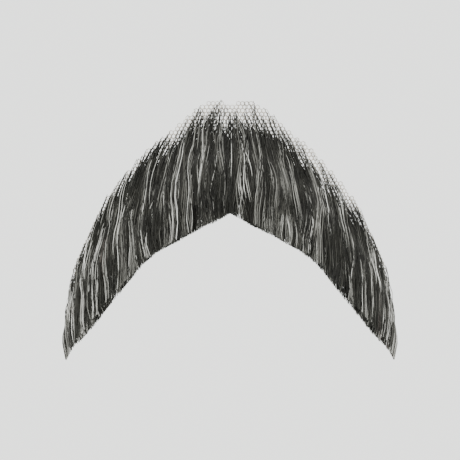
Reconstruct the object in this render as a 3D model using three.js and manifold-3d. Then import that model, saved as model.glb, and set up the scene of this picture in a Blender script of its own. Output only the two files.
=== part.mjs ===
// A false moustache of the hand-tied kind, curved as it is when worn: a net base cut to shape, with rows of combed
// hair knotted into it. The hair of each wing is in two tiers, as it is tied: the lower rows lie against the net, and
// the top rows start at the top edge and fall over them to the trimmed hem.
//
// Millimetres, +Z up. The hair faces -Y, and the side that is glued to the skin faces +Y. The origin is on the skin
// side of the net, about half way down the hair at the parting. Left and right are as seen from the front, so the
// left wing is on the -X side.

import * as THREE from "three";
import { mergeVertices } from "three/addons/utils/BufferGeometryUtils.js";
import Module from "manifold-3d";

const wasm = await Module();
wasm.setup();

// The cut of the moustache, measured on the net laid flat
const halfWidth = 40; // from the parting to the outermost point of a wing
const archDrop = 44.6; // from the highest point of the top edge down to where it ends, at a tip
const longestHair = 25; // from the top edge to the hem, where the hair is longest
const seatBelowTop = 10.8; // from the highest point of the top edge down to the origin

// The curve that it is worn in, as seen from above
const upperRadius = 62; // at the top edge
const lowerRadius = 50; // at the tips

// The net base
const netThickness = 1;
const netMargin = 3.4; // net above the locks at the parting, in which only a few hairs are knotted
const netMarginAtTips = 1.6; // the same at the tips, towards which it narrows ever faster
const netSetback = 4; // from the net's lower edge to the ends of the longest hair, which hide it

// The hair
const locksInTopRows = 12; // on each wing
const locksInLowerRows = 11;
const lowerRowsStart = 0.44; // share of the way from the top edge to the hem
const rootDepth = 0.6; // thickness of the hair where it leaves the net
const lowerRowsDepth = 1.8; // thickness of the lower rows at the hem
const topRowsDepth = 1.8; // thickness of the top rows at the hem
const knotBandHeight = 3; // of the strip of knots that each tier hangs from
const knotBandLip = 0.4; // of it that stands above the roots of the locks
const knotLift = 0.1; // how far the knots hold the locks off the net
const combBow = 0.9; // how far the combed hair bows outwards on its way down
const lockOverlap = 0.22; // share of a lock's width by which it runs under each neighbour
const tipNarrowing = 0.5; // share of its width that a lock loses at its end
const tipThinning = 0.55; // share of its thickness that a lock loses at its end

const fitGap = 0.3; // between the pieces
const topRowsStep = 0.12; // share of the hair's way on which the top rows rise over the lower ones

// One row for each comb line, from the parting to the tip. Across is a share of the half width. EdgeDrop, down to the
// line's start on the top edge, is a share of the arch's drop. HairRun, from there down to the hem, is a share of the
// longest hair.
const combLines = [
  { edgeAcross: 0.0, edgeDrop: 0.012, hemAcross: 0.0, hairRun: 0.865 },
  { edgeAcross: 0.121, edgeDrop: 0.0, hemAcross: 0.127, hairRun: 1.0 },
  { edgeAcross: 0.231, edgeDrop: 0.066, hemAcross: 0.243, hairRun: 0.978 },
  { edgeAcross: 0.342, edgeDrop: 0.152, hemAcross: 0.36, hairRun: 0.933 },
  { edgeAcross: 0.455, edgeDrop: 0.228, hemAcross: 0.468, hairRun: 0.915 },
  { edgeAcross: 0.559, edgeDrop: 0.317, hemAcross: 0.567, hairRun: 0.936 },
  { edgeAcross: 0.661, edgeDrop: 0.412, hemAcross: 0.671, hairRun: 0.952 },
  { edgeAcross: 0.773, edgeDrop: 0.538, hemAcross: 0.768, hairRun: 0.896 },
  { edgeAcross: 0.882, edgeDrop: 0.697, hemAcross: 0.852, hairRun: 0.749 },
  { edgeAcross: 0.968, edgeDrop: 0.861, hemAcross: 0.915, hairRun: 0.546 },
  { edgeAcross: 1.0, edgeDrop: 1.0, hemAcross: 0.964, hairRun: 0.43 },
];
const fullDrop = archDrop + combLines.at(-1).hairRun * longestHair; // from the top edge to the end of a tip

// How much of its length each lock in turn keeps, so that the trimmed ends are a little uneven
const lengthShares = [1, 0.975, 0.995, 0.96, 1, 0.985];

// Colours and finish
const netColour = 0xa89f92;
const topHairColour = 0x4a4a46;
const lowerHairColour = 0x35352f;
const hairRoughness = 0.5;
const netRoughness = 0.85;

const { clamp, lerp, smoothstep } = THREE.MathUtils;

// The flat cut: the top edge and the hem of the right wing, with x across from the parting and y the height
const topEdge = new THREE.SplineCurve(
  combLines.map(
    (line) => new THREE.Vector2(line.edgeAcross * halfWidth, seatBelowTop - line.edgeDrop * archDrop),
  ),
);
const hem = new THREE.SplineCurve(
  combLines.map(
    (line) =>
      new THREE.Vector2(
        line.hemAcross * halfWidth,
        seatBelowTop - line.edgeDrop * archDrop - line.hairRun * longestHair,
      ),
  ),
);

// The length of the comb line at "along", which is 0 at the parting and 1 at the tip.
function hairLength(along) {
  return topEdge.getPoint(along).distanceTo(hem.getPoint(along));
}

// A point of the worn moustache. Side is -1 for the left wing and 1 for the right, "down" is 0 at the top edge and
// 1 at the hem, and lift is the distance from the skin.
function wornPoint(side, along, down, lift) {
  const flat = topEdge.getPoint(along).lerp(hem.getPoint(along), down);
  const bow = combBow * Math.sin(Math.PI * clamp(down, 0, 1)) * Math.sin(Math.PI * along);
  const radius = lerp(upperRadius, lowerRadius, (seatBelowTop - flat.y) / fullDrop);
  const turn = (side * (flat.x + bow)) / radius;
  return new THREE.Vector3(
    (radius + lift) * Math.sin(turn),
    radius - (radius + lift) * Math.cos(turn),
    flat.y,
  );
}

// The triangles that close a ring whose second half runs back beside its first, by their places in the ring.
function endCap(count) {
  const triangles = [];
  let first = 0;
  let last = count - 1;
  while (last - first > 1) {
    triangles.push([first, first + 1, last]);
    first += 1;
    if (last - first > 1) {
      triangles.push([first, last - 1, last]);
      last -= 1;
    }
  }
  return triangles;
}

// A closed solid through rings of points, with its faces pointing out.
function loftedGeometry(rings) {
  const count = rings[0].length;
  const triangles = [];
  for (let ring = 0; ring < rings.length - 1; ring += 1) {
    for (let k = 0; k < count; k += 1) {
      const a = ring * count + k;
      const b = ring * count + ((k + 1) % count);
      triangles.push([a, b, b + count], [a, b + count, a + count]);
    }
  }
  const lastRing = (rings.length - 1) * count;
  for (const [a, b, c] of endCap(count)) {
    triangles.push([a, c, b], [lastRing + a, lastRing + b, lastRing + c]);
  }
  const points = rings.flat();
  const volume = triangles.reduce(
    (sum, [a, b, c]) => sum + points[a].dot(points[b].clone().cross(points[c])),
    0,
  );
  const outward = volume > 0 ? triangles : triangles.map(([a, b, c]) => [a, c, b]);
  const geometry = new THREE.BufferGeometry().setFromPoints(points);
  geometry.setIndex(outward.flat());
  return geometry;
}

// A wall that follows the worn surface. Columns is a list of { side, along }, fromDown and toDown give its upper
// and lower edge at each column, and inner and outer are its distances from the skin.
function wornWall({ columns, fromDown, toDown, inner, outer, rows }) {
  const rings = columns.map(({ side, along }) => {
    const downs = Array.from({ length: rows + 1 }, (_, k) => lerp(fromDown(along), toDown(along), k / rows));
    const front = downs.map((down) => wornPoint(side, along, down, outer));
    const back = downs.map((down) => wornPoint(side, along, down, inner));
    return [...front, ...back.reverse()];
  });
  return loftedGeometry(rings);
}

function solidOf(geometry) {
  const merged = mergeVertices(geometry, 1e-5);
  return new wasm.Manifold(
    new wasm.Mesh({
      numProp: 3,
      vertProperties: new Float32Array(merged.getAttribute("position").array),
      triVerts: new Uint32Array(merged.index.array),
    }),
  );
}

function geometryOf(solid) {
  const mesh = solid.getMesh();
  const geometry = new THREE.BufferGeometry();
  geometry.setAttribute("position", new THREE.BufferAttribute(mesh.vertProperties, mesh.numProp));
  geometry.setIndex(new THREE.BufferAttribute(mesh.triVerts, 1));
  return geometry;
}

function evenly(from, to, steps) {
  return Array.from({ length: steps + 1 }, (_, k) => lerp(from, to, k / steps));
}

// The distances from the skin at which the knots and the locks lie
const hairOnNet = netThickness + fitGap;
const locksOnNet = hairOnNet + knotLift;
const partingShare = fitGap / (combLines[1].edgeAcross * halfWidth * (combLines.length - 1));

function lowerRowsCrown(down) {
  const share = clamp((down - lowerRowsStart) / (1 - lowerRowsStart), 0, 1);
  return locksOnNet + lerp(rootDepth, lowerRowsDepth, share);
}

// The top rows lie on the net down to the lower rows, and rise over these a little before they start.
const stepEnd = lowerRowsStart - topRowsStep / 6;
const stepStart = stepEnd - topRowsStep;

function topRowsInside(down) {
  const overLowerRows = lowerRowsCrown(down) + fitGap;
  return lerp(locksOnNet, overLowerRows, clamp((down - stepStart) / (stepEnd - stepStart), 0, 1));
}

function topRowsCrown(down) {
  return topRowsInside(down) + lerp(rootDepth, topRowsDepth, clamp(down, 0, 1));
}

const tiers = {
  top_rows: {
    locks: locksInTopRows,
    start: 0,
    inside: topRowsInside,
    crown: topRowsCrown,
    sections: [0, 0.14, stepStart, stepEnd, 0.6, 0.8, 0.93, 1],
    colour: topHairColour,
  },
  lower_rows: {
    locks: locksInLowerRows,
    start: lowerRowsStart,
    inside: () => locksOnNet,
    crown: lowerRowsCrown,
    sections: [lowerRowsStart, 0.58, 0.72, 0.86, 0.94, 1],
    colour: lowerHairColour,
  },
};

// The comb line in the middle of a lock.
function lockMiddle(tier, place) {
  return lerp(partingShare, 1, (place + 0.5) / tier.locks);
}

// One lock: flat against what it lies on and crowned outwards, narrower and thinner at its trimmed end.
function lockGeometry(side, tier, place) {
  const pitch = (1 - partingShare) / tier.locks;
  const middle = lockMiddle(tier, place);
  const length = lengthShares[place % lengthShares.length];
  const shoulder = 0.6; // share of the half width at which the crown starts to fall
  const shoulderDepth = 0.78; // share of the lock's thickness left there
  const rings = tier.sections.map((section) => {
    const travelled = (section - tier.start) / (1 - tier.start);
    const down = tier.start + travelled * length * (1 - tier.start);
    const narrowed = 1 - tipNarrowing * smoothstep(travelled, 0.75, 1);
    const thinned = 1 - tipThinning * smoothstep(travelled, 0.8, 1);
    const reach = pitch * (0.5 + lockOverlap) * narrowed;
    const low = place === 0 ? partingShare : middle - reach;
    const high = place === tier.locks - 1 ? 1 : middle + reach;
    const inside = tier.inside(down);
    const depth = (tier.crown(down) - inside) * thinned;
    const point = (share, lift) => wornPoint(side, lerp(low, high, (share + 1) / 2), down, inside + lift);
    return [
      point(-1, 0),
      point(-shoulder, shoulderDepth * depth),
      point(0, depth),
      point(shoulder, shoulderDepth * depth),
      point(1, 0),
    ];
  });
  return loftedGeometry(rings);
}

// The strip of knots that a tier's locks grow out of, from the middle of its first lock to that of its last.
function knotBand(side, tier) {
  const first = lockMiddle(tier, 0);
  const last = lockMiddle(tier, tier.locks - 1);
  return wornWall({
    columns: evenly(first, last, 2 * tier.locks).map((along) => ({ side, along })),
    fromDown: (along) => tier.start - knotBandLip / hairLength(along),
    toDown: (along) => tier.start + Math.min(knotBandHeight / hairLength(along), (1 - tier.start) / 2),
    inner: hairOnNet,
    outer: hairOnNet + rootDepth / 2,
    rows: 1,
  });
}

function hairGeometry(side, tier) {
  let hair = solidOf(knotBand(side, tier));
  for (let place = 0; place < tier.locks; place += 1) {
    hair = hair.add(solidOf(lockGeometry(side, tier, place)));
  }
  return geometryOf(hair);
}

function netGeometry() {
  const columns = evenly(-1, 1, 52).map((place) => ({ side: Math.sign(place) || 1, along: Math.abs(place) }));
  return wornWall({
    columns,
    fromDown: (along) => -lerp(netMargin, netMarginAtTips, along ** 2) / hairLength(along),
    toDown: (along) => 1 - netSetback / hairLength(along),
    inner: 0,
    outer: netThickness,
    rows: 5,
  });
}

function piece(name, geometry, colour, roughness) {
  const material = new THREE.MeshStandardMaterial({ color: colour, roughness, metalness: 0 });
  const mesh = new THREE.Mesh(geometry, material);
  mesh.name = name;
  return mesh;
}

const moustache = new THREE.Group();
moustache.add(piece("net_base", netGeometry(), netColour, netRoughness));
for (const [tierName, tier] of Object.entries(tiers)) {
  for (const [sideName, side] of Object.entries({ left: -1, right: 1 })) {
    moustache.add(piece(`${tierName}_${sideName}`, hairGeometry(side, tier), tier.colour, hairRoughness));
  }
}

export default moustache;
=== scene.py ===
"""A hand-tied false moustache in Blender: salt-and-pepper hair combed down over a knotted lace net.

Everything is laid out on the flat cut first, in millimetres: x is across, z is up, and y is the distance
from the skin, negative because the hair faces -Y. The tree "worn place" bends the flat cut into the curve
that it is worn in and turns it into metres. The tree "lace net" makes the hexagonal net from a sheet of
small triangles. The tree "combed rows" ties hairs at the crossings of the net's threads, and combs, gathers
and trims them.
"""

import bisect
import math
from types import SimpleNamespace

import bpy
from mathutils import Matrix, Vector

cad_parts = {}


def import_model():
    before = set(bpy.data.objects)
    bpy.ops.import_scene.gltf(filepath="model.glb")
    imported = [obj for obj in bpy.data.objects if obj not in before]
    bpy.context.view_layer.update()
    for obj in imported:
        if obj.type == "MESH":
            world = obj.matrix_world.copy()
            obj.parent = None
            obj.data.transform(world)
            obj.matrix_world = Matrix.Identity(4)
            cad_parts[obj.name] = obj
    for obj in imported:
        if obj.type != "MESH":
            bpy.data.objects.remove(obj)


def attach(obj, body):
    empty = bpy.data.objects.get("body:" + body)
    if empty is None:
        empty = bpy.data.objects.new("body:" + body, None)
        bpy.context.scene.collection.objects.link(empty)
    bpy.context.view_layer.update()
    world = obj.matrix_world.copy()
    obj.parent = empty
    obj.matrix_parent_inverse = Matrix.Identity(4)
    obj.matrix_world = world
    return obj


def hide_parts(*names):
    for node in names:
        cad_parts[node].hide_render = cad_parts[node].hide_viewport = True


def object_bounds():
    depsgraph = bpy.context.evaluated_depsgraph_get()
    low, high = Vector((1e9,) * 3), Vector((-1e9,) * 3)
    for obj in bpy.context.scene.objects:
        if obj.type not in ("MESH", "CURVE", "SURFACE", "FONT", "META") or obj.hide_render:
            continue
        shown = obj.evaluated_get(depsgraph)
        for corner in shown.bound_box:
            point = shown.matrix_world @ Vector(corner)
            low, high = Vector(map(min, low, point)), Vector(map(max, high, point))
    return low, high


MM = 0.001

# The cut of the moustache, measured flat, as in the CAD source, in millimetres
HALF_WIDTH = 40
ARCH_DROP = 44.6
LONGEST_HAIR = 25
SEAT_BELOW_TOP = 10.8
UPPER_RADIUS = 62
LOWER_RADIUS = 50
COMB_BOW = 0.9

# One row for each comb line, from the parting to the tip: where it starts on the top edge (across and down),
# where it reaches the hem (across), and the hair's run between them, as shares of the sizes above
COMB_LINES = (
    {"edge_across": 0.0, "edge_drop": 0.012, "hem_across": 0.0, "hair_run": 0.865},
    {"edge_across": 0.121, "edge_drop": 0.0, "hem_across": 0.127, "hair_run": 1.0},
    {"edge_across": 0.231, "edge_drop": 0.066, "hem_across": 0.243, "hair_run": 0.978},
    {"edge_across": 0.342, "edge_drop": 0.152, "hem_across": 0.36, "hair_run": 0.933},
    {"edge_across": 0.455, "edge_drop": 0.228, "hem_across": 0.468, "hair_run": 0.915},
    {"edge_across": 0.559, "edge_drop": 0.317, "hem_across": 0.567, "hair_run": 0.936},
    {"edge_across": 0.661, "edge_drop": 0.412, "hem_across": 0.671, "hair_run": 0.952},
    {"edge_across": 0.773, "edge_drop": 0.538, "hem_across": 0.768, "hair_run": 0.896},
    {"edge_across": 0.882, "edge_drop": 0.697, "hem_across": 0.852, "hair_run": 0.749},
    {"edge_across": 0.968, "edge_drop": 0.861, "hem_across": 0.915, "hair_run": 0.546},
    {"edge_across": 1.0, "edge_drop": 1.0, "hem_across": 0.964, "hair_run": 0.43},
)
FULL_DROP = ARCH_DROP + COMB_LINES[-1]["hair_run"] * LONGEST_HAIR
EDGE_X = [row["edge_across"] * HALF_WIDTH for row in COMB_LINES]
EDGE_Z = [SEAT_BELOW_TOP - row["edge_drop"] * ARCH_DROP for row in COMB_LINES]
HEM_X = [row["hem_across"] * HALF_WIDTH for row in COMB_LINES]
HEM_Z = [z - row["hair_run"] * LONGEST_HAIR for z, row in zip(EDGE_Z, COMB_LINES)]

# The build-up of the hair, in millimetres from the skin, as in the CAD solids that the strands replace
NET_LIFT = 0.5
LOCKS_ON_NET = 1.4
ROOT_DEPTH = 0.6
LOWER_ROWS_DEPTH = 1.8
TOP_ROWS_DEPTH = 1.8
TIER_GAP = 0.3
LOWER_ROWS_START = 0.44
TOP_ROWS_STEP = 0.12

# The net, in millimetres, with the wall round a hole as a share of the thread
NET_MARGIN = 3.4
NET_MARGIN_AT_TIPS = 1.6
NET_SETBACK = 4
NET_CELL = 0.95
NET_THREAD = 0.25
WALL_SHARE = 0.4
NET_MAP_WIDTH = 90
NET_MAP_HEIGHT = 64
NET_COLOUR = (0.33, 0.3, 0.255)

# The strands. Their tone is a place on a ramp from black to white, with brown beyond its light end.
STRAND_SIDES = 3
TONE_BANDS = 64
LIGHTEST_TONE = 0.92
BROWN_TONE = 0.96
TONES = (
    (0.0, (0.006, 0.006, 0.004)),
    (0.25, (0.013, 0.0128, 0.01)),
    (0.45, (0.045, 0.044, 0.038)),
    (0.62, (0.16, 0.158, 0.145)),
    (0.78, (0.34, 0.336, 0.315)),
    (0.93, (0.5, 0.495, 0.47)),
    (0.94, (0.07, 0.06, 0.054)),
    (1.0, (0.11, 0.095, 0.086)),
)
BAND_EDGE = 0.15

# The chances, 0 to 1, above which a hair is lighter and a tuft brown, and how far along a wing brown begins
GREY_HAIR_ABOVE = 0.92
BROWN_TUFT_ABOVE = 0.95
BROWN_FROM = 0.55

# How the hair hangs: heights and falls in millimetres, and the last two for each millimetre of fall
EDGE_TUFT_HEIGHT = 2.1
GATHERED_AFTER = 8.0
LYING_AFTER = 2.6
LEAN_FADE = 0.35
WAVE_TURN = 0.45

# A whole turn in radians, and the step from one row's names of tufts to the next row's
FULL_TURN = 6.28
TUFT_NAMES_IN_ROW = 173

# The inputs of the tree "combed rows". Rows are given by their share of the way from the top edge to the hem.
HAIR_INPUTS = (
    ("Cell Middles", "Geometry", None),
    ("Combing Sheet", "Object", None),
    ("Side", "Float", 1.0),
    ("First Row", "Float", 0.0),
    ("Last Row", "Float", 0.44),
    ("Top Tier", "Float", 1.0),
    ("Hairs Per Knot", "Float", 4.05),
    ("Root Scatter", "Float", 0.45),
    ("Knot Size", "Float", 0.11),
    ("Outer Sections", "Int", 10),
    ("Inner Sections", "Int", 5),
    ("Strand Width", "Float", 0.145),
    ("Locks", "Float", 12.0),
    ("Lock Gather", "Float", 0.12),
    ("Tufts", "Float", 38.0),
    ("Tuft Rows", "Float", 7.0),
    ("Tuft Gather", "Float", 0.75),
    ("Short Tufts", "Float", 0.65),
    ("Edge Tufts", "Float", 15.0),
    ("Edge Rise", "Float", 4.0),
    ("Shoulder Rise", "Float", 0.0),
    ("First Knots Above", "Float", 6.0),
    ("All Knots Below", "Float", 8.0),
    ("Inner Hairs", "Float", 0.4),
    ("Root Lean", "Float", 2.0),
    ("Wave", "Float", 0.3),
    ("Spread", "Float", 0.5),
    ("Seed", "Int", 1),
    ("Material", "Material", None),
)
TIERS = {
    "top_rows": {"First Row": -0.2, "Last Row": 0.44, "Top Tier": 1.0, "Locks": 12.0, "Seed": 10},
    "lower_rows": {
        "First Row": 0.44,
        "Last Row": 0.86,
        "Top Tier": 0.0,
        "Locks": 11.0,
        "Short Tufts": 0.2,
        "Hairs Per Knot": 4.1,
        "Seed": 30,
    },
}

# The left wing is a little fuller at its upper edge than the right one
WINGS = {
    "left": {"Side": -1.0, "Edge Rise": 4.7, "Shoulder Rise": 2.6},
    "right": {"Side": 1.0, "Edge Rise": 4.0, "Shoulder Rise": -1.6},
}

# Each random draw adds a number of its own to the seed
DRAWS = {
    "knot": 1,
    "hairs on knot": 2,
    "hair": 3,
    "hair bend": 4,
    "hair trim": 5,
    "inner or outer": 6,
    "root across": 7,
    "root down": 8,
    "short tuft": 12,
    "shorter by": 13,
    "tuft hem": 14,
    "lock pull": 15,
    "tuft wave": 16,
    "tuft turn": 17,
    "tuft heap": 18,
    "streak": 19,
    "dark tone": 20,
    "streak tone": 21,
    "brown tuft": 22,
    "edge peak": 31,
    "edge slope": 32,
}


# Node trees


class Field:
    """A socket of a node tree that takes part in arithmetic."""

    def __init__(self, nodes, socket):
        self.nodes = nodes
        self.socket = socket

    def __add__(self, other):
        return self.nodes.math("ADD", self, other)

    def __radd__(self, other):
        return self.nodes.math("ADD", other, self)

    def __sub__(self, other):
        return self.nodes.math("SUBTRACT", self, other)

    def __rsub__(self, other):
        return self.nodes.math("SUBTRACT", other, self)

    def __mul__(self, other):
        return self.nodes.math("MULTIPLY", self, other)

    def __rmul__(self, other):
        return self.nodes.math("MULTIPLY", other, self)

    def __truediv__(self, other):
        return self.nodes.math("DIVIDE", self, other)

    def __pow__(self, other):
        return self.nodes.math("POWER", self, other)


class Nodes:
    """Adds nodes to a tree, each to the right of the last one."""

    def __init__(self, tree):
        self.tree = tree
        self.count = 0

    def add(self, kind, feeds=None, **settings):
        node = self.tree.nodes.new(kind)
        node.location = (180 * self.count, -40 * (self.count % 5))
        self.count += 1
        for name, value in settings.items():
            setattr(node, name, value)
        for name, value in (feeds or {}).items():
            self.feed(self.socket(node.inputs, name), value)
        return node

    def socket(self, sockets, name):
        """The socket of that name or number that the node's settings leave in use."""
        if isinstance(name, int):
            return sockets[name]
        return next(socket for socket in sockets if socket.enabled and socket.name == name)

    def feed(self, socket, value):
        if isinstance(value, Field):
            value = value.socket
        if isinstance(value, bpy.types.NodeSocket):
            self.tree.links.new(value, socket)
        else:
            socket.default_value = value

    def field(self, node, output=0):
        return Field(self, self.socket(node.outputs, output))

    def math(self, operation, *values, clamp=False):
        node = self.add("ShaderNodeMath", operation=operation, use_clamp=clamp)
        for socket, value in zip(node.inputs, values):
            self.feed(socket, value)
        return self.field(node)

    def mix(self, low, high, share):
        return low + (high - low) * share

    def clamp(self, value):
        return self.math("ADD", value, 0.0, clamp=True)

    def fraction(self, value):
        return self.math("FRACT", value)

    def above(self, value, limit):
        return self.math("GREATER_THAN", value, limit)

    def smooth(self, value, low, high):
        node = self.add("ShaderNodeMapRange", interpolation_type="SMOOTHSTEP")
        for name, item in (("Value", value), ("From Min", low), ("From Max", high)):
            self.feed(node.inputs[name], item)
        return self.field(node)

    def vector(self, x=0.0, y=0.0, z=0.0):
        node = self.add("ShaderNodeCombineXYZ")
        for socket, value in zip(node.inputs, (x, y, z)):
            self.feed(socket, value)
        return node.outputs[0]

    def split(self, vector):
        node = self.add("ShaderNodeSeparateXYZ", {0: vector})
        return [Field(self, socket) for socket in node.outputs]

    def position(self):
        return self.add("GeometryNodeInputPosition").outputs[0]

    def named(self, name, data_type="FLOAT"):
        return self.field(self.add("GeometryNodeInputNamedAttribute", {"Name": name}, data_type=data_type))

    def remember(self, geometry, name, value, **settings):
        """Stores a value on the geometry's points under a name, and gives the geometry back."""
        feeds = {"Geometry": geometry, "Name": name, "Value": value}
        return self.add("GeometryNodeStoreNamedAttribute", feeds, **settings).outputs["Geometry"]

    def map_colours(self, geometry, coordinates):
        """Stores the coordinates that the material reads."""
        return self.remember(geometry, "OFBake", coordinates, data_type="FLOAT2", domain="CORNER")

    def forget(self, geometry, *names):
        for name in names:
            feeds = {"Geometry": geometry, "Name": name}
            geometry = self.add("GeometryNodeRemoveAttribute", feeds).outputs[0]
        return geometry

    def join(self, *geometries):
        node = self.add("GeometryNodeJoinGeometry")
        for geometry in geometries:
            self.feed(node.inputs[0], geometry)
        return node.outputs[0]

    def place(self, geometry, position):
        return self.add("GeometryNodeSetPosition", {"Geometry": geometry, "Position": position}).outputs[0]

    def bend(self, geometry, flat, worn):
        """Moves the geometry from its place on the flat cut to the worn curve."""
        return self.place(geometry, self.add("GeometryNodeGroup", {"Flat": flat}, node_tree=worn).outputs[0])

    def finish(self, geometry, material):
        """The end of a tree that makes a piece: no instances, smooth shading and the material."""
        real = self.add("GeometryNodeRealizeInstances", {"Geometry": geometry})
        smooth = self.add("GeometryNodeSetShadeSmooth", {"Geometry": real.outputs[0], "Shade Smooth": True})
        feeds = {"Geometry": smooth.outputs[0], "Material": material}
        return self.add("GeometryNodeSetMaterial", feeds).outputs[0]


def new_tree(name, kind, inputs, outputs):
    """A node group, its inputs given as (name, socket type, value) and its outputs as (name, socket type)."""
    tree = bpy.data.node_groups.new(name, kind)
    for label, socket_type, value in inputs:
        socket = tree.interface.new_socket(label, in_out="INPUT", socket_type=f"NodeSocket{socket_type}")
        if value is not None:
            socket.default_value = value
    for label, socket_type in outputs:
        tree.interface.new_socket(label, in_out="OUTPUT", socket_type=f"NodeSocket{socket_type}")
    return tree


def run_tree(source, tree, name, values):
    """Runs a geometry tree on a sheet and returns the result as a plain mesh object."""
    modifier = source.modifiers.new(tree.name, "NODES")
    modifier.node_group = tree
    for item in tree.interface.items_tree:
        if item.in_out == "INPUT" and item.name in values:
            modifier[item.identifier] = values[item.name]
    evaluated = source.evaluated_get(bpy.context.evaluated_depsgraph_get())
    mesh = bpy.data.meshes.new_from_object(evaluated)
    mesh.name = name
    piece = bpy.data.objects.new(name, mesh)
    bpy.context.collection.objects.link(piece)
    source.modifiers.remove(modifier)
    return piece


# The flat cut and the worn curve


def mix(low, high, share):
    return low + (high - low) * share


def along_curve(values, along):
    """A smooth curve through evenly spaced values, as the CAD source draws it; straight past its two ends."""
    if along < 0:
        return values[0] + (values[1] - values[0]) * along * (len(values) - 1)
    if along > 1:
        return values[-1] + (values[-1] - values[-2]) * (along - 1) * (len(values) - 1)
    place = along * (len(values) - 1)
    k = min(int(place), len(values) - 2)
    share = place - k
    a, b, c, d = (values[min(max(k + step, 0), len(values) - 1)] for step in (-1, 0, 1, 2))
    start, end = (c - a) / 2, (d - b) / 2
    return (
        (2 * b - 2 * c + start + end) * share**3
        + (-3 * b + 3 * c - 2 * start - end) * share**2
        + start * share
        + b
    )


def flat_point(along, down):
    """Across and height on the flat cut, in millimetres, of the right wing."""
    x = mix(along_curve(EDGE_X, along), along_curve(HEM_X, along), down)
    z = mix(along_curve(EDGE_Z, along), along_curve(HEM_Z, along), down)
    bow = COMB_BOW * math.sin(math.pi * min(max(down, 0), 1)) * math.sin(math.pi * min(max(along, 0), 1))
    return x + bow, z


def hair_length(along):
    return math.hypot(
        along_curve(HEM_X, along) - along_curve(EDGE_X, along),
        along_curve(HEM_Z, along) - along_curve(EDGE_Z, along),
    )


def flat_sheet(name, vertices, faces):
    """A sheet of the flat cut, from points (x, z)."""
    mesh = bpy.data.meshes.new(name)
    mesh.from_pydata([(x, 0, z) for x, z in vertices], [], faces)
    sheet = bpy.data.objects.new(name, mesh)
    bpy.context.collection.objects.link(sheet)
    return sheet


def combing_sheet():
    """A guide for the strands: the flat cut, and more all round, with each point's place on its comb line.

    Its attribute flow holds (signed along, down, run): along is 0 at the parting, 1 at the right tip and -1
    at the left one, down is 0 at the top edge and 1 at the hem, and run is the way from one to the other in
    millimetres.
    """
    reach, above, below = 1.1, -0.3, 1.25
    columns, rows = 176, 44
    vertices, flow = [], []
    for row in range(rows + 1):
        down = mix(above, below, row / rows)
        for column in range(columns + 1):
            along = mix(-reach, reach, column / columns)
            x, z = flat_point(abs(along), down)
            vertices.append((math.copysign(x, along), z))
            flow.extend((along, down, hair_length(abs(along))))
    wide = columns + 1
    faces = [
        (r * wide + c, (r + 1) * wide + c, (r + 1) * wide + c + 1, r * wide + c + 1)
        for r in range(rows)
        for c in range(columns)
    ]
    sheet = flat_sheet("combing_sheet", vertices, faces)
    sheet.data.attributes.new("flow", "FLOAT_VECTOR", "POINT").data.foreach_set("vector", flow)
    return sheet


def height_on(line, x):
    """The height of a line of points (x, z) at x, or None beside it."""
    k = bisect.bisect_right(line, (x, math.inf))
    if k == 0 or k == len(line):
        return None
    (x0, z0), (x1, z1) = line[k - 1], line[k]
    return mix(z0, z1, (x - x0) / (x1 - x0))


def net_rims():
    """The upper and the lower rim of the net's right half, as lines of points (x, z)."""
    steps = 200
    upper, lower = [], []
    for k in range(steps + 1):
        along = k / steps
        x, z = flat_point(along, 0)
        upper.append((x, z + mix(NET_MARGIN, NET_MARGIN_AT_TIPS, along**2)))
        lower.append(flat_point(along, 1 - NET_SETBACK / hair_length(along)))
    return upper, lower


def cell_middles():
    """The net's cut as a flat sheet of triangles between the middles of its cells, and its area in mm2.

    The sheet has one more ring of middles than the net has cells, because a cell needs all its neighbours.
    """
    upper, lower = net_rims()

    def in_cut(x, z):
        above = height_on(upper, abs(x))
        if above is None:
            return False
        below = height_on(lower, abs(x))
        if below is None:
            below = lower[-1][1]
        return below + NET_CELL / 2 <= z <= above - NET_CELL / 2

    row_pitch = NET_CELL * math.sqrt(3) / 2
    rows = int((FULL_DROP + NET_MARGIN) / row_pitch) + 3
    half_columns = int(HALF_WIDTH / NET_CELL) + 3
    middles = {}
    for row in range(rows):
        for column in range(-half_columns, half_columns + 1):
            x = (column + (row % 2) / 2) * NET_CELL
            middles[row, column] = (x, SEAT_BELOW_TOP + NET_MARGIN + NET_CELL - row * row_pitch)
    cells = {key for key, (x, z) in middles.items() if in_cut(x, z)}
    triangles = []
    for row, column in middles:
        here, beside = (row, column), (row, column + 1)
        below, below_right = (row + 1, column), (row + 1, column + 1)
        if row % 2:
            pair = [(here, below, below_right), (here, below_right, beside)]
        else:
            pair = [(here, below, beside), (beside, below, below_right)]
        triangles.extend(triangle for triangle in pair if any(key in cells for key in triangle))
    used = sorted({key for triangle in triangles for key in triangle})
    place = {key: k for k, key in enumerate(used)}
    faces = [tuple(place[key] for key in triangle) for triangle in triangles]
    sheet = flat_sheet("cell_middles", [middles[key] for key in used], faces)
    return sheet, len(cells) * NET_CELL * row_pitch


def worn_place():
    """Tree: bends the flat cut, in millimetres, into the curve that it is worn in, in metres."""
    tree = new_tree("worn place", "GeometryNodeTree", [("Flat", "Vector", None)], [("Worn", "Vector")])
    n = Nodes(tree)
    x, y, z = n.split(n.add("NodeGroupInput").outputs["Flat"])
    radius = n.mix(UPPER_RADIUS, LOWER_RADIUS, (SEAT_BELOW_TOP - z) / FULL_DROP)
    turn = x / radius
    reach = radius - y
    curved = n.vector(reach * n.math("SINE", turn), radius - reach * n.math("COSINE", turn), z)
    metres = n.add("ShaderNodeVectorMath", {0: curved, "Scale": MM}, operation="SCALE")
    n.add("NodeGroupOutput", {"Worn": metres.outputs[0]})
    return tree


# The net


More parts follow.
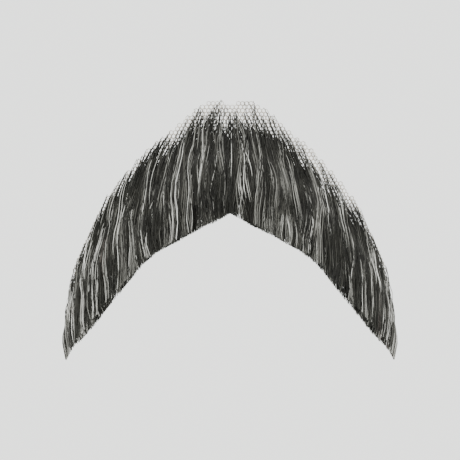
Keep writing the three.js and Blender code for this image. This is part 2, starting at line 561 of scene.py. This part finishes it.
def lace_net(worn):
    """Tree: opens a hole in each cell and gives the thread between the holes its round section."""
    inputs = (
        ("Cell Middles", "Geometry", None),
        ("Cell", "Float", NET_CELL),
        ("Thread", "Float", NET_THREAD),
        ("Lift", "Float", NET_LIFT),
        ("Material", "Material", None),
    )
    n = Nodes(new_tree("lace net", "GeometryNodeTree", inputs, [("Net", "Geometry")]))
    given = n.add("NodeGroupInput")
    thread, cell, lift = (n.field(given, name) for name in ("Thread", "Cell", "Lift"))

    # A ring of faces in each hexagon, between its corners and the hole
    cells = n.add("GeometryNodeDualMesh", {"Mesh": given.outputs["Cell Middles"]})
    feeds = {"Mesh": cells.outputs[0], "Offset Scale": 0.0, "Individual": True}
    rings = n.add("GeometryNodeExtrudeMesh", feeds, mode="FACES")
    hole = rings.outputs["Top"]
    feeds = {"Geometry": rings.outputs["Mesh"], "Selection": hole, "Scale": 1 - thread / cell}
    shrunk = n.add("GeometryNodeScaleElements", feeds, domain="FACE")
    marked = n.remember(shrunk.outputs[0], "rim", hole)
    opened = n.add("GeometryNodeDeleteGeometry", {"Geometry": marked, "Selection": hole}, domain="FACE")

    # A wall round each hole, and the thread thicker along its middle than at the wall
    wall = thread * WALL_SHARE
    feeds = {"Mesh": opened.outputs[0], "Offset": (0, -1, 0), "Offset Scale": wall, "Individual": False}
    front = n.add("GeometryNodeExtrudeMesh", feeds, mode="FACES")
    back = n.add("GeometryNodeFlipFaces", {"Mesh": opened.outputs[0]})
    both = n.join(front.outputs["Mesh"], back.outputs[0])
    sealed = n.add("GeometryNodeMergeByDistance", {"Geometry": both, "Distance": 0.001})
    x, y, z = n.split(n.position())
    swell = n.mix(thread / wall, 1, n.named("rim"))
    rounded = n.place(sealed.outputs[0], n.vector(x, (y + wall / 2) * swell, z))

    mapped = n.map_colours(rounded, n.vector((x + y) / NET_MAP_WIDTH + 0.5, (z + y) / NET_MAP_HEIGHT + 0.75))
    bent = n.bend(mapped, n.vector(x, y - lift, z), worn)
    net = n.finish(n.forget(bent, "rim"), given.outputs["Material"])
    n.add("NodeGroupOutput", {"Net": net})
    return n.tree


# The hair


class HairNodes(Nodes):
    """Nodes of the tree "combed rows", with its inputs and its random draws at hand."""

    def __init__(self, tree):
        super().__init__(tree)
        self.given = self.add("NodeGroupInput")

    def value(self, name):
        return Field(self, self.given.outputs[name])

    def random(self, low, high, draw):
        """A number for each point."""
        feeds = {0: self.value("Seed"), 1: DRAWS[draw]}
        seed = self.add("FunctionNodeIntegerMath", feeds, operation="ADD").outputs[0]
        feeds = {"Min": low, "Max": high, "Seed": seed}
        return self.field(self.add("FunctionNodeRandomValue", feeds), "Value")

    def chance_of(self, item, draw):
        """A number from 0 to 1 for each tuft or lock."""
        spot = self.vector(item, self.value("Seed") + DRAWS[draw])
        return self.field(self.add("ShaderNodeTexWhiteNoise", {"Vector": spot}, noise_dimensions="2D"))

    def noise(self, x, y):
        """A smooth wander to both sides of 0."""
        spot = self.vector(x, y, self.value("Seed") * 0.37)
        return self.field(self.add("ShaderNodeTexNoise", {"Vector": spot, "Scale": 1.0, "Detail": 1.0})) - 0.5


def crossings_in_tier(n, combing, flow):
    """The crossings of the net's threads that lie in this tier and on this wing."""
    crossings = n.add("GeometryNodeDualMesh", {"Mesh": n.value("Cell Middles")}).outputs[0]
    feeds = {"Mesh": crossings, "Radius": 0.05}
    points = n.add("GeometryNodeMeshToPoints", feeds, mode="VERTICES").outputs[0]
    feeds = {"Mesh": combing, "Value": flow, "Sample Position": n.position()}
    nearest = n.add("GeometryNodeSampleNearestSurface", feeds, data_type="FLOAT_VECTOR")
    signed, down, run = n.split(nearest.outputs["Value"])
    points = n.remember(points, "root_along", signed * n.value("Side"))
    points = n.remember(points, "root_down", down)
    points = n.remember(points, "run", run)
    points = n.remember(points, "knot", n.random(0.0, 1.0, "knot"))
    along, down = n.named("root_along"), n.named("root_down")
    in_rows = n.above(down, n.value("First Row")) * n.above(n.value("Last Row"), down)
    feeds = {"Geometry": points, "Selection": n.above(along, -0.002) * in_rows}
    return n.add("GeometryNodeSeparateGeometry", feeds, domain="POINT").outputs["Selection"]


def depth_in_hair(n):
    """How many millimetres a root lies below the upper edge of the hair, which stands in pointed tufts."""
    along = n.named("root_along")
    fall = n.named("root_down") * n.named("run")
    spot = along * n.value("Edge Tufts") - fall * 0.2 + n.noise(along * 21, 4.0) * 1.2
    tuft = n.math("FLOOR", spot)
    beside = n.math("ABSOLUTE", spot - tuft - 0.5) * 2
    peak = n.mix(0.0, -EDGE_TUFT_HEIGHT, n.chance_of(tuft, "edge peak"))
    edge = peak + beside * n.mix(0.6, 2.0, n.chance_of(tuft, "edge slope"))
    on_shoulder = n.smooth(along, 0.25, 0.4) * (1 - n.smooth(along, 0.55, 0.7))
    return fall - edge + n.value("Edge Rise") + n.value("Shoulder Rise") * on_shoulder


def tied_knots(n, crossings, depth):
    """The crossings that have a knot, fewer and fewer of them towards the upper edge."""
    limit = n.mix(0 - n.value("First Knots Above"), n.value("All Knots Below"), n.named("knot") ** 0.5)
    feeds = {"Geometry": crossings, "Selection": n.above(depth, limit)}
    return n.add("GeometryNodeSeparateGeometry", feeds, domain="POINT").outputs["Selection"]


def planted_strands(n, knots, depth):
    """The hairs of each knot as straight strands, fewer towards the upper edge and more at the tips."""
    along, down, run = n.named("root_along"), n.named("root_down"), n.named("run")
    wanted = n.value("Hairs Per Knot") * n.mix(0.3, 1.0, n.smooth(depth, 1.0, 10.0))
    wanted = wanted * (1 + n.smooth(along, 0.88, 1.0)) + n.random(0.0, 1.0, "hairs on knot")
    feeds = {"Geometry": knots, "Amount": n.math("FLOOR", wanted)}
    hairs = n.add("GeometryNodeDuplicateElements", feeds, domain="POINT").outputs["Geometry"]
    hairs = n.remember(hairs, "chance", n.random(0.0, 1.0, "hair"))
    hairs = n.remember(hairs, "bend", n.random(-1.0, 1.0, "hair bend"))
    hairs = n.remember(hairs, "trim", n.random(0.0, 1.0, "hair trim"))
    inner_share = n.value("Inner Hairs") * n.smooth(depth, 1.0, 4.0)
    hairs = n.remember(hairs, "outer", n.above(n.random(0.0, 1.0, "inner or outer"), inner_share))
    scatter = n.value("Root Scatter")
    across = n.random(-1.0, 1.0, "root across") * scatter / HALF_WIDTH
    hairs = n.remember(hairs, "root_along", along + across)
    hairs = n.remember(hairs, "root_down", down + n.random(-1.0, 1.0, "root down") * scatter / run)

    # Outer hairs, which show, have more sections than inner ones
    line = n.add("GeometryNodeCurvePrimitiveLine", {"Start": (0, 0, 0), "End": (0, 0, 1)}).outputs[0]
    kinds = n.add("GeometryNodeGeometryToInstance")
    for sections in ("Outer Sections", "Inner Sections"):
        feeds = {"Curve": line, "Count": n.value(sections)}
        n.feed(kinds.inputs[0], n.add("GeometryNodeResampleCurve", feeds).outputs[0])
    feeds = {"Points": hairs, "Instance": kinds.outputs[0], "Pick Instance": True}
    feeds["Instance Index"] = n.named("outer")
    planted = n.add("GeometryNodeInstanceOnPoints", feeds)
    return n.add("GeometryNodeRealizeInstances", {"Geometry": planted.outputs[0]}).outputs[0]


def hair_in_tuft(n):
    """What a hair remembers of its root, and the tuft and the lock that it hangs in."""
    hair = SimpleNamespace(
        along=n.named("root_along"),
        root_down=n.named("root_down"),
        run=n.named("run"),
        knot=n.named("knot"),
        chance=n.named("chance"),
        bend=n.named("bend"),
        trim=n.named("trim"),
        outer=n.named("outer"),
        travel=n.field(n.add("GeometryNodeSplineParameter"), "Factor") ** 1.3,
    )
    along = hair.along
    row = n.math("FLOOR", hair.root_down * n.value("Tuft Rows") + 0.6 + n.noise(along * 11, 5.0) * 1.2)
    spot = along * n.value("Tufts") + n.noise(along * 8, 2.0) * 0.8 + n.noise(along * 14, row) * 0.5
    hair.tuft = n.math("FLOOR", spot)
    hair.tuft_place = spot - hair.tuft
    hair.tuft_name = hair.tuft + row * TUFT_NAMES_IN_ROW
    spot = along * n.value("Locks") + n.noise(along * 7, 3.0) * 1.2
    hair.lock = n.math("FLOOR", spot)
    hair.lock_place = spot - hair.lock
    return hair


def let_fall(n, hair):
    """How far down it reaches: long tufts to the trimmed hem, short ones and most inner hairs less far."""
    hair.short = n.above(n.value("Short Tufts"), n.chance_of(hair.tuft_name, "short tuft")) * hair.outer
    shorter_by = n.mix(0.15, 0.6, n.chance_of(hair.tuft_name, "shorter by"))
    way = 1 - hair.short * shorter_by - hair.trim * n.mix(0.02, 0.12, hair.short)
    way = way - n.above(hair.trim, 0.93) * 0.25
    reaches_hem = n.clamp(hair.outer + n.smooth(hair.root_down, 0.5, 0.65))
    way = way * n.mix(n.mix(0.4, 0.8, hair.chance), 1.0, reaches_hem) * n.mix(0.86, 1.0, hair.outer)
    way = n.mix(way, 1.0, 0.7 * n.smooth(hair.along, 0.88, 0.97))
    hem = 1.0 + (n.chance_of(hair.tuft_name, "tuft hem") - 0.5) * 0.02
    hair.down = n.mix(hair.root_down, hem, way * hair.travel)
    hair.fallen = (hair.down - hair.root_down) * hair.run
    loosened = 1 - 0.5 * n.smooth(hair.down, 0.85, 1.0)
    hair.gathered = n.smooth(hair.fallen, 0.0, GATHERED_AFTER) * loosened * hair.outer


def place_across(n, hair):
    """Outwards from the root, in towards the middle of the tuft and of the lock, and in a slow wave."""
    lean_here = n.smooth(hair.along, 0.0, 0.16) * (1 - n.smooth(hair.along, 0.72, 1.0))
    lean = n.value("Root Lean") * lean_here * (1 - n.math("EXPONENT", hair.fallen * -LEAN_FADE))
    tuft_pull = (0.5 - hair.tuft_place) / n.value("Tufts") * n.value("Tuft Gather") * hair.gathered
    lock_pull = (0.5 - hair.lock_place) / n.value("Locks") * n.value("Lock Gather") * hair.gathered
    lock_pull = lock_pull * n.chance_of(hair.lock, "lock pull")
    phase = n.chance_of(hair.tuft_name, "tuft wave") * FULL_TURN
    wave = (n.math("SINE", hair.fallen * WAVE_TURN + phase) - n.math("SINE", phase)) * n.value("Wave")
    turn = n.noise(hair.along * 12, 6.0) * 0.16 + (n.chance_of(hair.tuft_name, "tuft turn") - 0.5) * 0.08
    knot_turn = (n.fraction(hair.knot * 37) - 0.5) * 0.8 * n.smooth(hair.fallen, 0.0, 4.5)
    spread = hair.bend * n.value("Spread")
    own = spread * n.mix(2.0, 1.0, hair.outer) * n.smooth(hair.fallen, 0.0, 2.5)
    own = own + spread * hair.travel * n.mix(0.0, 0.8, hair.chance) + knot_turn
    per_mm = 1 / HALF_WIDTH
    free = 1 - 0.75 * n.smooth(hair.along, 0.8, 1.0)
    pulled = ((wave + turn * hair.fallen + own) * per_mm + tuft_pull + lock_pull) * free
    kept_right = n.math("SMOOTH_MAX", hair.along + lean * per_mm + pulled, -0.01, 0.02)
    return n.math("SMOOTH_MIN", kept_right, 1.005, 0.06)


def height_off_skin(n, hair):
    """Within the tier's solid, the first rows outermost."""
    lower_share = n.clamp((hair.down - LOWER_ROWS_START) / (1 - LOWER_ROWS_START))
    lower_crown = LOCKS_ON_NET + n.mix(ROOT_DEPTH, LOWER_ROWS_DEPTH, lower_share)
    step_end = LOWER_ROWS_START - TOP_ROWS_STEP / 6
    step = n.clamp((hair.down - (step_end - TOP_ROWS_STEP)) / TOP_ROWS_STEP)
    top_inside = n.mix(LOCKS_ON_NET, lower_crown + TIER_GAP, step)
    top_crown = top_inside + n.mix(ROOT_DEPTH, TOP_ROWS_DEPTH, n.clamp(hair.down))
    inside = n.mix(LOCKS_ON_NET, top_inside, n.value("Top Tier"))
    crown = n.mix(lower_crown, top_crown, n.value("Top Tier"))

    first_row, last_row = n.value("First Row"), n.value("Last Row")
    row_share = n.clamp((hair.root_down - first_row) / (last_row - first_row))
    heap = (1 - row_share) * 0.75 + n.chance_of(hair.tuft_name, "tuft heap") * 0.35
    heap = heap + (hair.chance - 0.5) * 0.25
    from_middle = (hair.tuft_place - 0.5) * 2
    crowned = 1 - 0.3 * from_middle * from_middle * hair.gathered
    thinned = 1 - 0.35 * n.smooth(hair.travel, 0.75, 1.0)
    lying = n.mix(inside, crown, n.clamp(heap) * crowned * thinned * n.mix(0.3, 1.0, hair.outer))
    lift = n.mix(NET_LIFT, lying, n.smooth(hair.fallen, 0.0, LYING_AFTER))
    lift = lift + n.noise(hair.tuft_name * 0.7 + hair.chance * 2, hair.fallen * 0.25) * 0.5 * hair.gathered

    # At the tip of the wing both tiers come together in a point
    together = 0.8 * n.smooth(hair.along, 0.8, 0.98) * n.smooth(hair.down, 0.45, 1.0)
    return n.mix(lift, LOCKS_ON_NET + LOWER_ROWS_DEPTH + TIER_GAP, together)


def hair_tone(n, hair):
    """Dark tufts and grey ones, grey hairs here and there, lighter towards the tips, a few brown tufts, and
    inner hairs in dark tones only, partly as painted shade.
    """
    every_second = 2 * n.fraction(hair.tuft * 0.5)
    off_middle = n.math("ABSOLUTE", hair.tuft_place - 0.5)
    streak = every_second * n.smooth(n.chance_of(hair.tuft_name, "streak"), 0.1, 0.25)
    streak = streak * (1 - n.smooth(off_middle, 0.2, 0.36))
    tone = 0.02 + 0.2 * n.chance_of(hair.tuft_name, "dark tone")
    tone = tone + streak * n.mix(0.4, 0.66, n.chance_of(hair.tuft_name, "streak tone"))
    tone = tone + n.above(hair.chance, GREY_HAIR_ABOVE) * 0.3 + (n.fraction(hair.chance * 13) - 0.5) * 0.12
    tone = tone + 0.55 * n.smooth(hair.along, 0.61, 1.0) * n.fraction(hair.chance * 29)
    tone = tone - 0.07 * (1 - n.smooth(hair.along, 0.1, 0.6))
    # Inner hairs, under the outer ones, take only dark tones and no grey: partly dark hair and partly painted
    # shade of the hair above them
    tone = n.mix(0.05 + 0.42 * hair.chance, tone, hair.outer)
    tone = n.math("MINIMUM", n.math("MAXIMUM", tone, 0.0), LIGHTEST_TONE)
    brown = n.above(n.chance_of(hair.tuft_name, "brown tuft"), BROWN_TUFT_ABOVE)
    brown = brown * n.above(hair.along, BROWN_FROM)
    return n.mix(tone, BROWN_TONE, brown)


def strand_tubes(n, strands, hair):
    """A round section along each strand, thinner towards its ends."""
    uneven = n.mix(0.8, 1.15, n.fraction(hair.chance * 17))
    radius = n.value("Strand Width") * 0.5 * uneven * n.mix(1.5, 1.0, hair.outer)
    pointed = 0.25 + 0.55 * hair.short
    taper = n.smooth(hair.travel, 0.0, 0.1) * 0.3 + 0.7 - pointed * n.smooth(hair.travel, 0.75, 1.0)
    profile = n.add("GeometryNodeCurvePrimitiveCircle", {"Resolution": STRAND_SIDES, "Radius": 1.0})
    around = n.field(n.add("GeometryNodeSplineParameter"), "Factor")
    ring = n.remember(profile.outputs[0], "around", around)
    feeds = {"Curve": strands, "Profile Curve": ring, "Fill Caps": True, "Scale": radius * taper}
    return n.add("GeometryNodeCurveToMesh", feeds).outputs[0]


def knot_beads(n, knots):
    """A bead of a few faces for each knot, round the crossing of the threads."""
    x, y, z = n.split(n.position())
    bead = n.add("GeometryNodeMeshUVSphere", {"Segments": 4, "Rings": 3, "Radius": 1.0}).outputs["Mesh"]
    bead = n.remember(bead, "around", (x + y * 0.3) * 0.3 + 0.35)
    bead = n.remember(bead, "travel", (z + y * 0.3) * 0.35 + 0.5)
    knot = n.named("knot")
    toned = n.remember(knots, "tone", 0.05 + 0.35 * knot)
    on_net = n.place(toned, n.vector(x, y - NET_LIFT, z))
    size = n.value("Knot Size") * n.mix(0.85, 1.2, n.fraction(knot * 7))
    feeds = {"Points": on_net, "Instance": bead, "Scale": n.vector(size, size * 1.15, size)}
    tied = n.add("GeometryNodeInstanceOnPoints", feeds)
    return n.add("GeometryNodeRealizeInstances", {"Geometry": tied.outputs[0]}).outputs[0]


def combed_rows(worn):
    """Tree: ties the hairs of one tier on one wing to the net, and combs, gathers and trims them."""
    n = HairNodes(new_tree("combed rows", "GeometryNodeTree", HAIR_INPUTS, [("Hair", "Geometry")]))
    combing = n.add("GeometryNodeObjectInfo", {"Object": n.value("Combing Sheet")}).outputs["Geometry"]
    flow = n.named("flow", "FLOAT_VECTOR")
    depth = depth_in_hair(n)
    knots = tied_knots(n, crossings_in_tier(n, combing, flow), depth)
    strands = planted_strands(n, knots, depth)

    # Combed: from along and down on the combing sheet to a place on the flat cut
    hair = hair_in_tuft(n)
    let_fall(n, hair)
    spot = n.vector(place_across(n, hair) * n.value("Side"), hair.down)
    feeds = {"Mesh": combing, "Value": n.position(), "UV Map": flow, "Sample UV": spot}
    on_sheet = n.add("GeometryNodeSampleUVSurface", feeds, data_type="FLOAT_VECTOR")
    x, y, z = n.split(on_sheet.outputs["Value"])
    combed = n.place(strands, n.vector(x, y - height_off_skin(n, hair), z))
    combed = n.remember(combed, "tone", hair_tone(n, hair))
    combed = n.remember(combed, "travel", hair.travel)
    whole = n.join(strand_tubes(n, combed, hair), knot_beads(n, knots))

    # Its colour coordinates: the tone's band across, the way down the strand upwards
    band = n.math("FLOOR", n.named("tone") * TONE_BANDS)
    across = (band + BAND_EDGE + n.named("around")) / TONE_BANDS
    mapped = n.map_colours(whole, n.vector(across, 0.02 + n.named("travel") * 0.96))
    bent = n.bend(mapped, n.position(), worn)
    of_root = ("root_along", "root_down", "run", "knot")
    of_strand = ("chance", "bend", "trim", "outer", "tone", "travel", "around")
    plain = n.forget(bent, *of_root, *of_strand)
    n.add("NodeGroupOutput", {"Hair": n.finish(plain, n.value("Material"))})
    return n.tree


# Materials


def fibre_mottle():
    """Shader group: the fine unevenness of dyed fibre, as a shade to multiply by and as a height."""
    inputs = (("Grain", "Float", 1000.0), ("Darkest", "Float", 0.8), ("Lightest", "Float", 1.2))
    n = Nodes(new_tree("fibre mottle", "ShaderNodeTree", inputs, [("Shade", "Float"), ("Height", "Float")]))
    given = n.add("NodeGroupInput")
    grain, darkest, lightest = (n.field(given, name) for name in ("Grain", "Darkest", "Lightest"))
    place = n.add("ShaderNodeTexCoord").outputs["Object"]
    coarse = n.add("ShaderNodeTexNoise", {"Vector": place, "Scale": grain, "Detail": 3.0})
    fine = n.add("ShaderNodeTexNoise", {"Vector": place, "Scale": grain * 6, "Detail": 1.0})
    shade = n.mix(darkest, lightest, n.smooth(n.field(coarse), 0.3, 0.7))
    n.add("NodeGroupOutput", {"Shade": shade, "Height": fine.outputs[0]})
    return n.tree


def strand_pigment():
    """Shader group: the pigment of a hair from its tone, and how rough it is."""
    inputs = (("Tone", "Float", 0.5), ("Way Down", "Float", 0.5), ("Shade", "Float", 1.0))
    outputs = (("Color", "Color"), ("Roughness", "Float"))
    n = Nodes(new_tree("strand pigment", "ShaderNodeTree", inputs, outputs))
    given = n.add("NodeGroupInput")
    tone, way_down, shade = (n.field(given, name) for name in ("Tone", "Way Down", "Shade"))
    ramp = n.add("ShaderNodeValToRGB", {"Fac": tone})
    while len(ramp.color_ramp.elements) < len(TONES):
        ramp.color_ramp.elements.new(0.5)
    for element, (position, colour) in zip(ramp.color_ramp.elements, TONES):
        element.position = position
        element.color = (*colour, 1)
    scale = n.mix(0.75, 1.1, n.smooth(way_down, 0.0, 0.4)) * shade
    tinted = n.add("ShaderNodeVectorMath", {0: ramp.outputs[0], "Scale": scale}, operation="SCALE")
    n.add("NodeGroupOutput", {"Color": tinted.outputs[0], "Roughness": n.mix(0.45, 0.6, tone)})
    return n.tree


def new_material(name):
    material = bpy.data.materials.new(name)
    material.use_nodes = True
    return material, Nodes(material.node_tree), material.node_tree.nodes["Principled BSDF"]


def hair_material(mottle, pigment):
    material, n, shader = new_material("hair")
    tone, way_down, _ = n.split(n.add("ShaderNodeUVMap", uv_map="OFBake").outputs[0])
    feeds = {"Grain": 260.0, "Darkest": 0.72, "Lightest": 1.25}
    uneven = n.add("ShaderNodeGroup", feeds, node_tree=mottle)
    feeds = {"Tone": tone, "Way Down": way_down, "Shade": uneven.outputs["Shade"]}
    colour = n.add("ShaderNodeGroup", feeds, node_tree=pigment)
    n.feed(shader.inputs["Base Color"], colour.outputs["Color"])
    n.feed(shader.inputs["Roughness"], colour.outputs["Roughness"])
    shader.inputs["Specular IOR Level"].default_value = 0.25
    return material


def net_material(mottle):
    material, n, shader = new_material("net")
    feeds = {"Grain": 900.0, "Darkest": 0.75, "Lightest": 1.15}
    uneven = n.add("ShaderNodeGroup", feeds, node_tree=mottle)
    feeds = {0: NET_COLOUR, "Scale": uneven.outputs["Shade"]}
    thread = n.add("ShaderNodeVectorMath", feeds, operation="SCALE")
    n.feed(shader.inputs["Base Color"], thread.outputs[0])
    feeds = {"Strength": 0.5, "Distance": 0.04 * MM, "Height": uneven.outputs["Height"]}
    n.feed(shader.inputs["Normal"], n.add("ShaderNodeBump", feeds).outputs[0])
    shader.inputs["Roughness"].default_value = 0.8
    return material


# Stage, light and camera


def soft_area(name, place, target, size, power):
    light = bpy.data.lights.new(name, "AREA")
    light.shape = "DISK"
    light.size = size
    light.energy = power
    lamp = bpy.data.objects.new(name, light)
    lamp.location = place
    lamp.rotation_euler = (Vector(target) - Vector(place)).to_track_quat("-Z", "Y").to_euler()
    bpy.context.collection.objects.link(lamp)


def floor():
    """A plain pale floor, well below the moustache, which hangs in the air as it does where it is worn."""
    material, _, shader = new_material("studio_floor")
    shader.inputs["Base Color"].default_value = (0.8, 0.805, 0.79, 1)
    shader.inputs["Roughness"].default_value = 0.9
    height, radius, corners = -1.6, 12.0, 96
    turns = [2 * math.pi * k / corners for k in range(corners)]
    mesh = bpy.data.meshes.new("studio_floor")
    vertices = [(radius * math.cos(turn), radius * math.sin(turn), height) for turn in turns]
    mesh.from_pydata(vertices, [], [tuple(range(corners))])
    mesh.materials.append(material)
    disc = bpy.data.objects.new("studio_floor", mesh)
    bpy.context.collection.objects.link(disc)


def camera(target):
    """Straight in front, level, and near enough that the moustache fills most of the view."""
    distance, view_width = 1.9, 0.104
    data = bpy.data.cameras.new("camera")
    data.sensor_width = 36
    data.lens = data.sensor_width * distance / view_width
    view = bpy.data.objects.new("camera", data)
    view.location = (target.x, -distance, target.z)
    view.rotation_euler = (math.radians(90), 0, 0)
    bpy.context.collection.objects.link(view)
    bpy.context.scene.camera = view


def world():
    surroundings = bpy.data.worlds.new("studio")
    surroundings.use_nodes = True
    background = surroundings.node_tree.nodes["Background"]
    background.inputs["Color"].default_value = (0.985, 1.0, 0.975, 1)
    background.inputs["Strength"].default_value = 2.2
    bpy.context.scene.world = surroundings


def studio(target):
    camera(target)
    world()
    soft_area("key", (-0.5, -1.2, 1.1), target, size=0.9, power=30)
    soft_area("fill", (0.9, -1.1, 0.3), target, size=1.2, power=12)
    floor()


# The moustache


def moustache():
    mottle = fibre_mottle()
    hair = hair_material(mottle, strand_pigment())
    net = net_material(mottle)
    worn = worn_place()
    combing = combing_sheet()
    cells, cell_area = cell_middles()

    rows = combed_rows(worn)
    for tier, of_tier in TIERS.items():
        for wing, of_wing in WINGS.items():
            node = f"{tier}_{wing}"
            values = {**of_tier, **of_wing, "Combing Sheet": combing, "Material": hair}
            values["Seed"] = of_tier["Seed"] + int(wing == "right")
            piece = run_tree(cells, rows, f"hair_{node}", values)
            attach(piece, "root")
            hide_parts(node)

    lace = run_tree(cells, lace_net(worn), "lace_net", {"Material": net})
    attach(lace, "root")
    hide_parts("net_base")
    flat_height = SEAT_BELOW_TOP + NET_MARGIN - min(HEM_Z) - NET_SETBACK
    flat_height * MM
    cell_area * MM * MM
    bpy.data.objects.remove(combing)
    bpy.data.objects.remove(cells)


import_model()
cad_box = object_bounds()
studio((cad_box[0] + cad_box[1]) / 2)
moustache()
